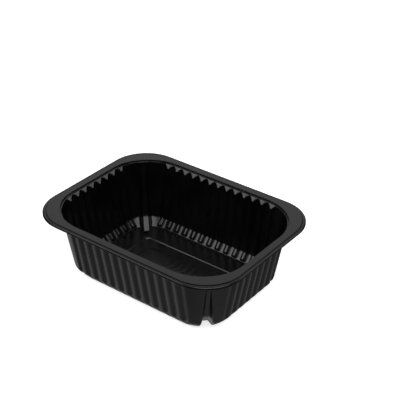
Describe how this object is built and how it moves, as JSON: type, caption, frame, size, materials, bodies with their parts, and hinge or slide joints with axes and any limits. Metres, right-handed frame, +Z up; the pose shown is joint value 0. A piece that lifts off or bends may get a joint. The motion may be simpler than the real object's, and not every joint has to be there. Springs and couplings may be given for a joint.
{
  "type": "sealable food container",
  "caption": "Rectangular plastic food tray with a flat sealing flange, ribbed sloping walls, rounded corners and a stepped floor.",
  "frame": {"origin": "centre of the footprint, on the surface that the tray stands on", "axes": "+X along the long side, +Y along the short side, +Z up through the open mouth"},
  "size_m": [0.19, 0.144, 0.06],
  "materials": {
    "black_plastic": "satin, as thermoformed"
  },
  "bodies": {
    "root": {"tray": "black_plastic"}
  },
  "joints": []
}
